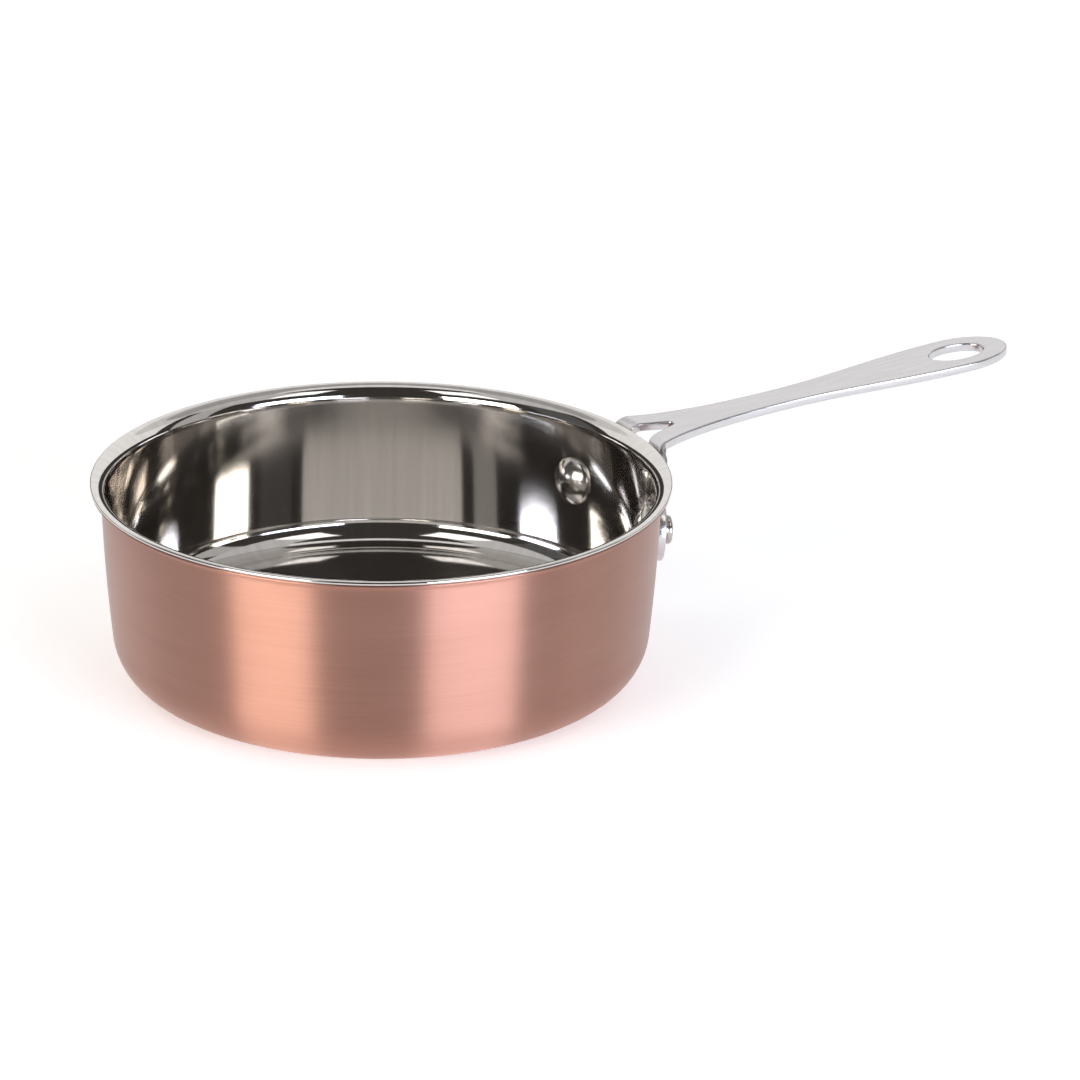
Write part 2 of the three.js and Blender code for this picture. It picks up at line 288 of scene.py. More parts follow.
# %% Mirror polished stainless steel
# Buffing lines are far finer than a pixel too, and are drawn coarser so that they show at all.
BUFF_WIDTH = 0.4 * MM
BUFF_LENGTH = 40 * MM
STREAK_WIDTH = 2 * MM


def upright_streaks(tree, width):
    """A noise that changes round the Z axis and hardly with height."""
    place = add(tree, "ShaderNodeTexCoord").outputs["Object"]
    out = vector_maths(tree, "NORMALIZE", vector_maths(tree, "MULTIPLY", place, (1, 1, 0)))
    turns = {0: out, "Scale": RIM_RADIUS / width}
    round_rim = add(tree, "ShaderNodeVectorMath", turns, operation="SCALE").outputs[0]
    up = vector_maths(tree, "MULTIPLY", place, (0, 0, 1 / RIM_HEIGHT))
    return noise_at(tree, vector_maths(tree, "ADD", round_rim, up))


def polished_steel():
    """Drawn stainless steel, buffed to a mirror: sharp reflections with a faint upright smear."""
    material, tree, shader = metal("polished_stainless")
    lines = turned_lines(tree, BUFF_WIDTH, BUFF_LENGTH)
    streaks = upright_streaks(tree, STREAK_WIDTH)
    shaded(tree, shader, streaks, dark="#cdc9c5", light="#d5d1cd")
    worked(tree, shader, lines, smooth=0.06, rough=0.09, depth=0.0004 * MM, strength=0.2)
    drawn_upright(tree, shader, 0.5)
    return material


keep_finish("polished_steel", polished_steel())

# %% [markdown]
# ## Satin stainless steel
#
# The handle is stainless sheet, rolled at the mill and tumbled with small stones after it was stamped.
# That leaves it pale and even, with soft reflections and a faint grain along the sheet. A blurred
# mirror alone looks like plastic foil, so a noise that is drawn out along X, the length of the handle,
# moves both its colour and its roughness a little.

# %% Satin stainless steel
# The grain of the real sheet is finer than a pixel, so it is drawn coarser.
GRAIN_WIDTH = 0.7 * MM
GRAIN_LENGTH = 17 * MM


def drawn_grain(tree, width, length):
    """A noise drawn out into short lines along X."""
    place = add(tree, "ShaderNodeTexCoord").outputs["Object"]
    scale = (1 / length, 1 / width, 1 / width)
    stretched = add(tree, "ShaderNodeMapping", {"Vector": place, "Scale": scale})
    return noise_at(tree, stretched.outputs[0])


def satin_steel():
    """Stainless sheet, tumbled after stamping: pale and even, with soft reflections."""
    material, tree, shader = metal("satin_stainless")
    grain = drawn_grain(tree, GRAIN_WIDTH, GRAIN_LENGTH)
    shaded(tree, shader, grain, dark="#c9c6c7", light="#d3d0d1")
    worked(tree, shader, grain, smooth=0.2, rough=0.26, depth=0.003 * MM, strength=0.5)
    return material


keep_finish("satin_steel", satin_steel())

# %% [markdown]
# ## Burnished stainless steel
#
# The rivets were headed from stainless wire, and the tool that headed them pressed their domes smooth.
# They could share the handle's finish, but then the domes would be as pale as the sheet, and on the
# real pan they mirror the dim room and look darker. So they have the same nodes with shorter marks and
# less roughness, and a darker colour, which is painted shade for the dim room that the domes mirror.

# %% Burnished stainless steel
TOOL_MARK_WIDTH = 0.7 * MM
TOOL_MARK_LENGTH = 1.5 * MM


def burnished_steel():
    """Stainless wire, headed and pressed smooth by the tool: sharper than the sheet, and darkened by
    painted shade.
    """
    material, tree, shader = metal("burnished_stainless")
    grain = drawn_grain(tree, TOOL_MARK_WIDTH, TOOL_MARK_LENGTH)
    # The darker colours are painted shade: they stand in for the dim room that the domes mirror.
    shaded(tree, shader, grain, dark="#b3aea8", light="#bfbab4")
    worked(tree, shader, grain, smooth=0.17, rough=0.21, depth=0.003 * MM, strength=0.5)
    return material


keep_finish("burnished_steel", burnished_steel())

# %% [markdown]
# ## Rolled aluminium
#
# A disc of aluminium lies hidden in the base, between the steel floor and the copper, and spreads the
# heat. No view of the whole pan shows it, so one flat colour would pass there. But each piece is also
# kept as a mesh of its own, so the disc gets the dull, faintly lined look of rolled plate.

# %% Rolled aluminium
ROLLING_WIDTH = 1.1 * MM
ROLLING_LENGTH = 25 * MM


def rolled_aluminium():
    """Plain aluminium plate as it leaves the mill: dull, with faint lines along the rolling."""
    material, tree, shader = metal("rolled_aluminium")
    grain = drawn_grain(tree, ROLLING_WIDTH, ROLLING_LENGTH)
    shaded(tree, shader, grain, dark="#bfc1c3", light="#c9cbcd")
    worked(tree, shader, grain, smooth=0.38, rough=0.5, depth=0.004 * MM, strength=0.5)
    return material


keep_finish("rolled_aluminium", rolled_aluminium())

# %% [markdown]
# ## A lathe made of Geometry Nodes
#
# The layers of the body, the core in its base and the rivets are round, so each is a profile turned
# about an axis. A Screw modifier or a spin would do, but a small Geometry Nodes tree keeps the number
# of sides as an input and closes the poles in the same way for each of them. The profile is drawn in
# the XZ plane. Curve to Mesh sweeps it round a circle, and because it puts the profile's origin on that
# circle, the profile is first moved inwards by the circle's radius.

# %% Nodes that turn a profile
WELD_DISTANCE = 0.002 * MM


def new_tree(name, inputs, output):
    """An empty Geometry Nodes tree with named inputs and one output."""
    tree = bpy.data.node_groups.new(name, "GeometryNodeTree")
    for label, kind in inputs.items():
        tree.interface.new_socket(label, in_out="INPUT", socket_type=kind)
    tree.interface.new_socket(output, in_out="OUTPUT", socket_type="NodeSocketGeometry")
    return tree, add(tree, "NodeGroupInput").outputs


def turned(tree, profile, sides, radius):
    """Nodes that turn a profile in the XZ plane about Z."""
    line = add(tree, "GeometryNodeMeshToCurve", {"Mesh": profile})
    shift = add(tree, "ShaderNodeCombineXYZ", {"X": maths(tree, "MULTIPLY", radius, -1)})
    laid = add(
        tree,
        "GeometryNodeTransform",
        {"Geometry": line.outputs[0], "Translation": shift.outputs[0], "Rotation": (math.pi / 2, 0, 0)},
    )
    circle = add(tree, "GeometryNodeCurvePrimitiveCircle", {"Resolution": sides, "Radius": radius})
    swept = add(
        tree,
        "GeometryNodeCurveToMesh",
        {"Curve": circle.outputs[0], "Profile Curve": laid.outputs[0]},
    )
    closed = add(
        tree,
        "GeometryNodeMergeByDistance",
        {"Geometry": swept.outputs[0], "Distance": WELD_DISTANCE},
    )
    return add(tree, "GeometryNodeSetShadeSmooth", {"Geometry": closed.outputs[0]}).outputs[0]


def finish_tree(tree, geometry, material):
    """Every tree ends in plain geometry with its material set."""
    real = add(tree, "GeometryNodeRealizeInstances", {"Geometry": geometry})
    dressed = add(tree, "GeometryNodeSetMaterial", {"Geometry": real.outputs[0], "Material": material})
    add(tree, "NodeGroupOutput", {0: dressed.outputs[0]})
    return tree


def lathe_tree():
    """A tree that turns one profile about the Z axis."""
    tree, given = new_tree(
        "lathe",
        {
            "Profile": "NodeSocketGeometry",
            "Sides": "NodeSocketInt",
            "Radius": "NodeSocketFloat",
            "Finish": "NodeSocketMaterial",
        },
        "Turned",
    )
    body = turned(tree, given["Profile"], given["Sides"], given["Radius"])
    return finish_tree(tree, body, given["Finish"])


lathe = lathe_tree()
print("lathe tree:", len(lathe.nodes), "nodes")

# %% [markdown]
# A tree does nothing until it runs on an object. This helper draws the profile as a line of edges,
# gives the tree its values, takes the evaluated mesh as a plain one and removes the modifier, so the
# finished piece is an ordinary mesh. An input is set by the identifier of its socket, because its name
# is only a label.

# %% Run a tree on a profile
def run_tree(name, tree, profile, values):
    """Runs a tree on a profile and keeps its result as a plain mesh."""
    line = bpy.data.meshes.new(name)
    points = [(r, 0, z) for r, z in profile]
    line.from_pydata(points, [(i, i + 1) for i in range(len(points) - 1)], [])
    piece = bpy.data.objects.new(name, line)
    bpy.context.scene.collection.objects.link(piece)
    modifier = piece.modifiers.new("tree", "NODES")
    modifier.node_group = tree
    for item in tree.interface.items_tree:
        if item.in_out == "INPUT" and item.name in values:
            modifier[item.identifier] = values[item.name]
    evaluated = piece.evaluated_get(bpy.context.evaluated_depsgraph_get())
    made = bpy.data.meshes.new_from_object(evaluated)
    piece.modifiers.remove(modifier)
    piece.data = made
    made.name = name
    return piece


labels = [item.name for item in lathe.interface.items_tree if item.in_out == "INPUT"]
print("the lathe asks for:", labels)

# %% [markdown]
# ## The profile of the body
#
# The body is a drawn bowl of two bonded sheets, steel inside and copper outside. In the wall and the
# lip the sheets lie on each other, so each face is the same line at another depth below the inner
# face. A straight wall would be simpler, but this one is slightly bowed, and in a mirror that small bow
# decides how far reflections run up the wall. So the wall is a very large arc that meets the corner and
# the flare without a kink.

# %% Sizes of the body
WALL_DRAFT = math.radians(1.5)
WALL_BOW = 400 * MM
CORNER_RADIUS = 11.4 * MM
FLOOR_HEIGHT = 9 * MM
FLOOR_CORNER = 6 * MM
FLARE_RADIUS = 3.2 * MM
LIP_FLAT = 0.6 * MM
STEEL_SHEET = 0.8 * MM
BOND_GAP = 0.1 * MM
COPPER_SHEET = 0.5 * MM
BODY_WALL = STEEL_SHEET + BOND_GAP + COPPER_SHEET

flare_centre = Vector((RIM_RADIUS - LIP_FLAT, RIM_HEIGHT - FLARE_RADIUS))
wall_top_normal = Vector((math.cos(WALL_DRAFT), -math.sin(WALL_DRAFT)))
wall_centre = flare_centre - (WALL_BOW + FLARE_RADIUS) * wall_top_normal
# Each form is its inner face: the height of its floor, and the radius from there to the wall.
liner_form = (FLOOR_HEIGHT, FLOOR_CORNER)
shell_form = (BODY_WALL, CORNER_RADIUS - BODY_WALL)


def bow_radius(radius, height):
    """From the axis to an arc about the wall's centre, at a height."""
    return wall_centre.x + math.sqrt(radius ** 2 - (wall_centre.y - height) ** 2)


def corner_centre(form):
    """Centre of the arc that touches a form's floor and the wall."""
    floor, corner = form
    return Vector((bow_radius(WALL_BOW - corner, floor + corner), floor + corner))


print(f"flat of the inside floor: radius {corner_centre(liner_form).x / MM:.1f} mm")

# %% [markdown]
# ## Faces, sheets and the core
#
# A sheet is two faces and a rounded edge at the lip. The steel floor lies higher than the copper base,
# and the core fills the space between them. The profiles could have just the points where their shape
# changes, with a Bevel or Subdivision for the rounds. But a mirror shows the smallest error in the
# normals, so the arcs are worked out and the straight stretches are cut into short steps: short faces
# keep the normals of the rounds out of the flats.

# %% One face of a sheet
ROUND_STEP = math.radians(6)
ARC_STEP = 2 * MM


def arc(centre, radius, start, stop):
    """Points on an arc, from one angle to another."""
    swing = abs(stop - start)
    count = max(2, math.ceil(swing / ROUND_STEP), math.ceil(swing * radius / ARC_STEP))
    angles = [start + (stop - start) * i / count for i in range(count + 1)]
    return [Vector((centre[0] + radius * math.cos(a), centre[1] + radius * math.sin(a))) for a in angles]


def face_profile(form, depth, lip_radius):
    """One face of a sheet, from the axis to the lip."""
    floor, corner = form
    centre = corner_centre(form)
    out = centre - wall_centre
    corner_end = math.atan2(out.y, out.x)
    return [
        Vector((0, floor - depth)),
        *arc(centre, corner + depth, -math.pi / 2, corner_end),
        *arc(wall_centre, WALL_BOW + depth, corner_end, -WALL_DRAFT)[1:-1],
        *arc(flare_centre, FLARE_RADIUS - depth, math.pi - WALL_DRAFT, math.pi / 2),
        Vector((lip_radius, RIM_HEIGHT - depth)),
    ]


print("inner face of the steel:", len(face_profile(liner_form, 0, RIM_RADIUS)), "points")

# %% Profiles of the sheets and the core
PROFILE_STEP = 1.2 * MM
EDGE_ROUND = 0.4 * MM
COPPER_SHY = 0.2 * MM


def in_short_steps(points):
    """The same line with its long stretches cut up."""
    line = [points[0]]
    for start, stop in zip(points, points[1:]):
        count = max(1, math.ceil((stop - start).length / PROFILE_STEP))
        line += [start.lerp(stop, i / count) for i in range(1, count + 1)]
    return line


def sheet_profile(form, inner_depth, outer_depth, shy):
    """Both faces of a sheet and its rounded edge, which stays shy of the rim by a length."""
    round_edge = min(EDGE_ROUND, (outer_depth - inner_depth) / 2)
    edge = RIM_RADIUS - shy - round_edge
    upper = arc((edge, RIM_HEIGHT - inner_depth - round_edge), round_edge, math.pi / 2, 0)
    lower = arc((edge, RIM_HEIGHT - outer_depth + round_edge), round_edge, 0, -math.pi / 2)
    inside = face_profile(form, inner_depth, edge)[:-1]
    outside = face_profile(form, outer_depth, edge)[:-1]
    return in_short_steps([*inside, *upper, *lower, *reversed(outside)])


def core_profile():
    """The disc between the liner's floor and the shell's base: a flat top and a round lower edge."""
    top = FLOOR_HEIGHT - STEEL_SHEET - BOND_GAP
    centre = corner_centre(shell_form)
    radius = shell_form[1] + STEEL_SHEET
    side = arc(centre, radius, math.asin((top - centre.y) / radius), -math.pi / 2)
    return in_short_steps([Vector((0, top)), *side, Vector((0, BODY_WALL - STEEL_SHEET))])


turned_pieces = {
    "steel_liner": (sheet_profile(liner_form, 0, STEEL_SHEET, 0), "polished_steel"),
    "base_core": (core_profile(), "rolled_aluminium"),
    "copper_shell": (
        sheet_profile(shell_form, STEEL_SHEET + BOND_GAP, BODY_WALL, COPPER_SHY),
        "brushed_copper",
    ),
}
for node, (profile, finish) in turned_pieces.items():
    print(f"{node}: {len(profile)} points in {finish}")

# %% [markdown]
# ## Steel liner, core and copper shell
#
# Now the three are turned. Each takes the place of its plain solid, which is hidden but stays in the
# scene, and rides on the pan's only body. Each takes the place of its plain solid, which stays in the
# frame for collision, and rides on the pan's only body. Fewer sides would do for the shape, but 256
# keep the rim round in the picture and the reflections in the steel unbroken.

# %% Steel liner, core and copper shell
BODY_SIDES = 256

for node, (profile, finish) in turned_pieces.items():
    values = {"Sides": BODY_SIDES, "Radius": RIM_RADIUS, "Finish": finishes[finish]}
    layer = run_tree(node + "_turned", lathe, profile, values)
    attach(layer, "root")
    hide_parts(node)
    print(f"{layer.name}: {len(layer.data.polygons)} faces")

# %% [markdown]
# ## The handle
#
# The handle is one stamping: a flat blank with a hole, split at its root into two legs, then bent over
# the rim and down the wall. It could be cut from a bent plate with booleans, but those leave ragged
# edges on curved sheet. So it is made the way it is stamped. The blank is laid out flat, with one
# coordinate along it and one across, and a bending function then lays each point along the handle's
# section. Only one half is drawn, and the other is its mirror image.

# %% Sizes along the handle
HANDLE_REACH = 95 * MM
HANDLE_SHEET = 2 * MM
BLADE_SLOPE = math.radians(4.3)
BLADE_RISE = 0.8 * MM
LEG_DROP = 3.2 * MM
JOG_DROP = 5.5 * MM
EAR_RADIUS = 7 * MM
EAR_SPARE = 1 * MM
RIM_GAP = 0.3 * MM
SEAT_GAP = 0.05 * MM

TIP_RADIUS = RIM_RADIUS + HANDLE_REACH
leg_radius = RIM_RADIUS + RIM_GAP + HANDLE_SHEET / 2
jog_top = RIM_HEIGHT - LEG_DROP
ear_top = jog_top - JOG_DROP
rivet_height = ear_top - EAR_RADIUS
# The section runs on a little past the ears, so that every point of them lies on it.
ear_end = rivet_height - EAR_RADIUS - EAR_SPARE
# The ears are straight: they follow the copper's outside as it leans at the rivets.
ear_draft = math.asin((wall_centre.y - rivet_height) / (WALL_BOW + BODY_WALL))
outer_radius = bow_radius(WALL_BOW + BODY_WALL, rivet_height)


def ear_radius_at(height):
    """From the axis to the middle of the ears' sheet."""
    middle = outer_radius + (SEAT_GAP + HANDLE_SHEET / 2) / math.cos(ear_draft)
    return middle + (height - rivet_height) * math.tan(ear_draft)


def blade_height(radius):
    """Height of the middle of the blade's sheet."""
    top = RIM_HEIGHT + BLADE_RISE + (radius - RIM_RADIUS) * math.tan(BLADE_SLOPE)
    return top - HANDLE_SHEET / 2 / math.cos(BLADE_SLOPE)


print(f"rivets: {rivet_height / MM:.1f} mm high, on ears that lean {math.degrees(ear_draft):.1f} degrees")

# %% [markdown]
# ## The section and the bend
#
# Seen from the side, the handle runs in from its tip, turns down over the rim, steps in below the lip
# and follows the wall. That is a line of four straight stretches with rounded corners. A Simple Deform
# modifier bends only once and with one radius, so the bend is a function: it looks up the place and the
# heading at a distance along the section, and sets a point off from there by its height on the sheet.

# %% Section of the handle
BEND_RADIUS = 0.8 * MM
JOG_RADIUS = 3 * MM


def rounded_line(corners, radii):
    """A line through the corners, with each inner corner rounded."""
    line = [corners[0]]
    for before, corner, after, radius in zip(corners, corners[1:], corners[2:], radii):
        into = (corner - before).normalized()
        out = (after - corner).normalized()
        side = 1 if into.cross(out) > 0 else -1
        swing = into.angle(out)
        start = corner - into * radius * math.tan(swing / 2)
        centre = start + Vector((-into.y, into.x)) * side * radius
        first = math.atan2(start.y - centre.y, start.x - centre.x)
        line += arc(centre, radius, first, first + side * swing)
    return [*line, corners[-1]]


section = np.array(rounded_line(
    [
        Vector((TIP_RADIUS, blade_height(TIP_RADIUS))),
        Vector((leg_radius, blade_height(leg_radius))),
        Vector((leg_radius, jog_top)),
        Vector((ear_radius_at(ear_top), ear_top)),
        Vector((ear_radius_at(ear_end), ear_end)),
    ],
    [BEND_RADIUS + HANDLE_SHEET / 2, JOG_RADIUS, JOG_RADIUS],
))
steps = np.diff(section, axis=0)
section_along = np.concatenate([[0], np.cumsum(np.hypot(*steps.T))])
heading_at = (section_along[1:] + section_along[:-1]) / 2
heading = np.unwrap(np.arctan2(steps[:, 1], steps[:, 0]))
SECTION_LENGTH = section_along[-1]


def bend(along, across, off):
    """Lays a point of the flat blank along the section: off is its height above the sheet's middle."""
    radius = np.interp(along, section_along, section[:, 0])
    height = np.interp(along, section_along, section[:, 1])
    course = np.interp(along, heading_at, heading)
    angle = across / radius
    out = radius + off * math.sin(course)
    return out * math.cos(angle), out * math.sin(angle), height - off * math.cos(course)


print(f"blank: {SECTION_LENGTH / MM:.1f} mm from the tip to below the ears")

# %% [markdown]
# ## The outline of the blank
#
# From above, the blade has a round end, narrows to a waist and spreads into the fork. The outer edge is
# an ellipse, two Bezier curves and the round of the ear, which meet without a kink. The opening of the
# fork is a small round tip and two straight edges that touch the ears. The points could be placed by
# hand, but these curves follow from a few sizes. They are followed in fine steps, because the mesh
# looks places up on them.

# %% Curves
CURVE_STEPS = 160


def bezier(a, b, c, d):
    """Points on a cubic curve from a to d, which leaves towards b and arrives from c."""
    share = np.linspace(0, 1, CURVE_STEPS + 1)[:, None]
    rest = 1 - share
    return rest ** 3 * a + 3 * rest ** 2 * share * b + 3 * rest * share ** 2 * c + share ** 3 * d


def ellipse(centre, half_length, half_width, start, stop):
    """Points on an ellipse, from one angle to another."""
    angles = np.linspace(start, stop, CURVE_STEPS + 1)
    along = centre[0] + half_length * np.cos(angles)
    return np.stack([along, centre[1] + half_width * np.sin(angles)], axis=1)


print("each curve has", CURVE_STEPS + 1, "points")

# %% Outline of the blank
END_WIDTH = 16.6 * MM
END_LENGTH = 12.5 * MM
NECK_REACH = 35.5 * MM
NECK_WIDTH = 8.5 * MM
HOLE_LENGTH = 13.4 * MM
HOLE_WIDTH = 8.8 * MM
CROTCH_REACH = 8.9 * MM
CROTCH_RADIUS = 1.2 * MM
EAR_ANGLE = math.radians(17)
EAR_ENTRY = math.radians(62)
# How long the curves hold their first and last direction, as shares of their run.
TAPER_HOLD = 0.36
NECK_HOLD = 0.8
EAR_HOLD = 0.21


def along_blade(radius):
    """Distance along the blank from the tip, at a distance from the pan's axis."""
    return (TIP_RADIUS - radius) / math.cos(BLADE_SLOPE)


ear_centre = np.array([
    SECTION_LENGTH - (rivet_height - ear_end) / math.cos(ear_draft),
    EAR_ANGLE * ear_radius_at(rivet_height),
])
hole_middle = END_LENGTH / math.cos(BLADE_SLOPE)
hole_half = HOLE_LENGTH / 2 / math.cos(BLADE_SLOPE)
crotch_tip = along_blade(RIM_RADIUS + CROTCH_REACH)
ear_bottom = ear_centre[0] + EAR_RADIUS


def outer_edge():
    """Round end, taper to the neck, spread of the fork and round of the ear."""
    wide = np.array([END_LENGTH, END_WIDTH / 2])
    neck = np.array([along_blade(RIM_RADIUS + NECK_REACH), NECK_WIDTH / 2])
    entry = ear_centre + EAR_RADIUS * np.array([-math.sin(EAR_ENTRY), math.cos(EAR_ENTRY)])
    into_ear = np.array([math.cos(EAR_ENTRY), math.sin(EAR_ENTRY)])
    taper = np.array([(neck[0] - wide[0]) * TAPER_HOLD, 0])
    run = entry[0] - neck[0]
    straight_on = np.array([run * NECK_HOLD, 0])
    return np.concatenate([
        ellipse((END_LENGTH, 0), END_LENGTH, END_WIDTH / 2, math.pi, math.pi / 2),
        bezier(wide, wide + taper, neck - taper, neck)[1:],
        bezier(neck, neck + straight_on, entry - into_ear * run * EAR_HOLD, entry)[1:],
        ellipse(ear_centre, EAR_RADIUS, EAR_RADIUS, math.pi / 2 + EAR_ENTRY, 0)[1:],
    ])


def fork_edge():
    """Edge of the opening between the legs: round its tip, then straight until it touches the ear."""
    centre = np.array([crotch_tip + CROTCH_RADIUS, 0])
    to_ear = ear_centre - centre
    turn_off = math.asin((EAR_RADIUS + CROTCH_RADIUS) / math.hypot(*to_ear))
    slope = math.atan2(to_ear[1], to_ear[0]) - turn_off
    return np.concatenate([
        ellipse(centre, CROTCH_RADIUS, CROTCH_RADIUS, math.pi, math.pi / 2 + slope),
        ellipse(ear_centre, EAR_RADIUS, EAR_RADIUS, slope - math.pi / 2, 0),
    ])


def hole_edge():
    """Half of the hanging hole, an ellipse."""
    return ellipse((hole_middle, 0), hole_half, HOLE_WIDTH / 2, math.pi, 0)


outer = outer_edge()
print(f"blank: {2 * outer[:, 1].max() / MM:.1f} mm wide over the ears, {len(outer)} points on its edge")

# %% [markdown]
# ## Rows of points across the sheet
#
# The blank is filled row by row from its inner edge to its outer edge. The inner edge is the middle
# line where the blade is whole, and the edge of the hole or of the fork elsewhere. Each row runs over
# the top face, round the broken edge of the sheet and back along the underside. A Solidify and a Bevel
# modifier would do nearly that, but the rows keep the faces even from the hole to the ears, and the
# rounded edge catches the light as a tumbled edge does.

# %% Edges of the sheet
EDGE_BREAK = 0.35 * MM
EDGE_STEPS = 4


def edge_points(edge, along, metal_side):
    """Points of an edge at the given places along, and the direction from each into the metal."""
    across = np.interp(along, edge[:, 0], edge[:, 1])
    run = np.diff(edge, axis=0)
    run /= np.hypot(*run.T)[:, None]
    into = metal_side * np.stack([-run[:, 1], run[:, 0]], axis=1)
    # An edge starts and ends straight along the blank, so that both of its halves meet there.
    ends = np.sign(into[[0, -1], 0])[:, None] * (1, 0)
    into = np.concatenate([ends[:1], into, ends[1:]])
    places = np.concatenate([edge[:1, 0], (edge[1:, 0] + edge[:-1, 0]) / 2, edge[-1:, 0]])
    into = np.stack([np.interp(along, places, into[:, i]) for i in (0, 1)], axis=1)
    return np.stack([along, across], axis=1), into / np.hypot(*into.T)[:, None]


def broken_edge():
    """The sheet's edge from its top face to its underside: distance in from the edge, and height."""
    turns = [math.pi / 2 * i / EDGE_STEPS for i in range(EDGE_STEPS + 1)]
    core = HANDLE_SHEET / 2 - EDGE_BREAK
    upper = [(EDGE_BREAK * (1 - math.sin(t)), core + EDGE_BREAK * math.cos(t)) for t in turns]
    return upper + [(inset, -off) for inset, off in reversed(upper)]


print("broken edge:", len(broken_edge()), "points round the sheet")

# %% Rows of the blank
# Shares of the way across, closer together at the edges.
COLUMNS = (0, 0.04, 0.14, 0.26, 0.38, 0.5, 0.62, 0.74, 0.86, 0.96, 1)
END_ROWS = 24
HOLE_ROWS = 48
BLADE_ROWS = 90
FORK_ROWS = 200


def eased(start, stop, count):
    """Values from start to stop, close together at both ends."""
    return start + (stop - start) * (1 - np.cos(np.linspace(0, math.pi, count))) / 2


def blank_rows(outer, inner, inner_open):
    """Rows of points from the inner edge, over the top, round the outer edge and back."""
    edge = broken_edge()
    rows = []
    for (outer_point, outer_in), (inner_point, inner_in) in zip(zip(*outer), zip(*inner)):
        first = inner_point + EDGE_BREAK * inner_in
        last = outer_point + EDGE_BREAK * outer_in
        face = [first + (last - first) * share for share in COLUMNS]
        row = [(*p, HANDLE_SHEET / 2) for p in face]
        row += [(*(outer_point + outer_in * inset), off) for inset, off in edge[1:-1]]
        row += [(*p, -HANDLE_SHEET / 2) for p in reversed(face)]
        if inner_open:
            row += [(*(inner_point + inner_in * inset), off) for inset, off in reversed(edge[1:-1])]
            row.append(row[0])
        rows.append(row)
    return rows


hole_start = hole_middle - hole_half
hole_stop = hole_middle + hole_half
stretches = [
    (0, hole_start, END_ROWS, None),
    (hole_start, hole_stop, HOLE_ROWS, hole_edge()),
    (hole_stop, crotch_tip, BLADE_ROWS, None),
    (crotch_tip, ear_bottom, FORK_ROWS, fork_edge()),
]
blank = []
for start, stop, count, inner in stretches:
    along = eased(start, stop, count)
    outer_points = edge_points(outer, along, -1)
    if inner is None:
        middle_along = eased(start + EDGE_BREAK, stop - EDGE_BREAK, count)
        middle = np.stack([middle_along, np.zeros(count)], axis=1)
        inner_points = (middle, np.zeros((count, 2)))
    else:
        inner_points = edge_points(inner, along, 1)
    blank.append(blank_rows(outer_points, inner_points, inner is not None))
print("rows in each stretch:", [len(rows) for rows in blank])

# %% [markdown]
# ## Bending the blank
#
# Each point of the rows is laid along the section, once as drawn and once mirrored, and the rows are
# joined by faces. Neighbouring stretches share their points, so doubles are merged and slivers are
# dissolved. A mirrored half comes out inside out, which is why the normals are worked out again at the
# end. An edge that isn't shared by two faces would be a hole in the sheet, so they are counted.

# %% Handle
SLIVER = 0.0005 * MM


def bent_handle(blank):
    """Bends the rows of one half and of its mirror image, and closes them into one solid."""
    mesh = bmesh.new()
    for side in (1, -1):
        for rows in blank:
            grid = [[mesh.verts.new(bend(u, side * v, off)) for u, v, off in row] for row in rows]
            for one, two in zip(grid, grid[1:]):
                for i in range(len(one) - 1):
                    mesh.faces.new((one[i], one[i + 1], two[i + 1], two[i]))
    bmesh.ops.remove_doubles(mesh, verts=mesh.verts, dist=WELD_DISTANCE)
    bmesh.ops.dissolve_degenerate(mesh, edges=mesh.edges, dist=SLIVER)
    bmesh.ops.recalc_face_normals(mesh, faces=mesh.faces)
    for face in mesh.faces:
        face.smooth = True
    data = bpy.data.meshes.new("handle_stamping")
    mesh.to_mesh(data)
    open_edges = sum(not edge.is_manifold for edge in mesh.edges)
    mesh.free()
    return data, open_edges


handle_mesh, open_edges = bent_handle(blank)
handle_mesh.materials.append(finishes["satin_steel"])
handle = bpy.data.objects.new("handle_stamping", handle_mesh)
bpy.context.scene.collection.objects.link(handle)
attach(handle, "root")
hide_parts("handle")
print("handle:", len(handle_mesh.polygons), "faces,", open_edges, "open edges")

# %% [markdown]
# ## The rivets
#
# Each ear is held by one rivet: a wide dome inside the pan and a plain upset end on the ear. Both are
# the same turned shape, so modelling one and copying it by hand would do. A tree does it from the sizes
# of the ears instead: it turns one profile, sets a point at each ear, and places a copy there that
# stands square to the leaning wall. Point 0 lies on one side of the handle and point 1 on the other,
# so twice the index less one gives the side.

# %% Profile of a rivet
SHANK_RADIUS = 2.5 * MM
DOME_RADIUS = 5.4 * MM
DOME_HEIGHT = 2.2 * MM
DOME_SKIRT = 0.5 * MM
UPSET_RADIUS = 3.2 * MM
UPSET_HEIGHT = 2 * MM
UPSET_EDGE = 0.6 * MM


def rivet_profile():
    """From the upset end along the shank to the top of the dome; the wall's inner face is at zero."""
    sphere = (DOME_RADIUS ** 2 + DOME_HEIGHT ** 2) / (2 * DOME_HEIGHT)
    dome_edge = math.asin(DOME_RADIUS / sphere)
    dome_centre = (0, sphere - DOME_HEIGHT - DOME_SKIRT)
    seat = BODY_WALL + SEAT_GAP + HANDLE_SHEET
    upset_edge = (UPSET_RADIUS - UPSET_EDGE, seat + UPSET_HEIGHT - UPSET_EDGE)
    return [
        Vector((0, seat + UPSET_HEIGHT)),
        *arc(upset_edge, UPSET_EDGE, math.pi / 2, 0),
        Vector((UPSET_RADIUS, seat)),
        Vector((SHANK_RADIUS, seat)),
        Vector((SHANK_RADIUS, 0)),
        Vector((DOME_RADIUS, 0)),
        *arc(dome_centre, sphere, dome_edge - math.pi / 2, -math.pi / 2),
    ]


print("rivet:", len(rivet_profile()), "points in the profile")

# %% Rivets
RIVET_SIDES = 48


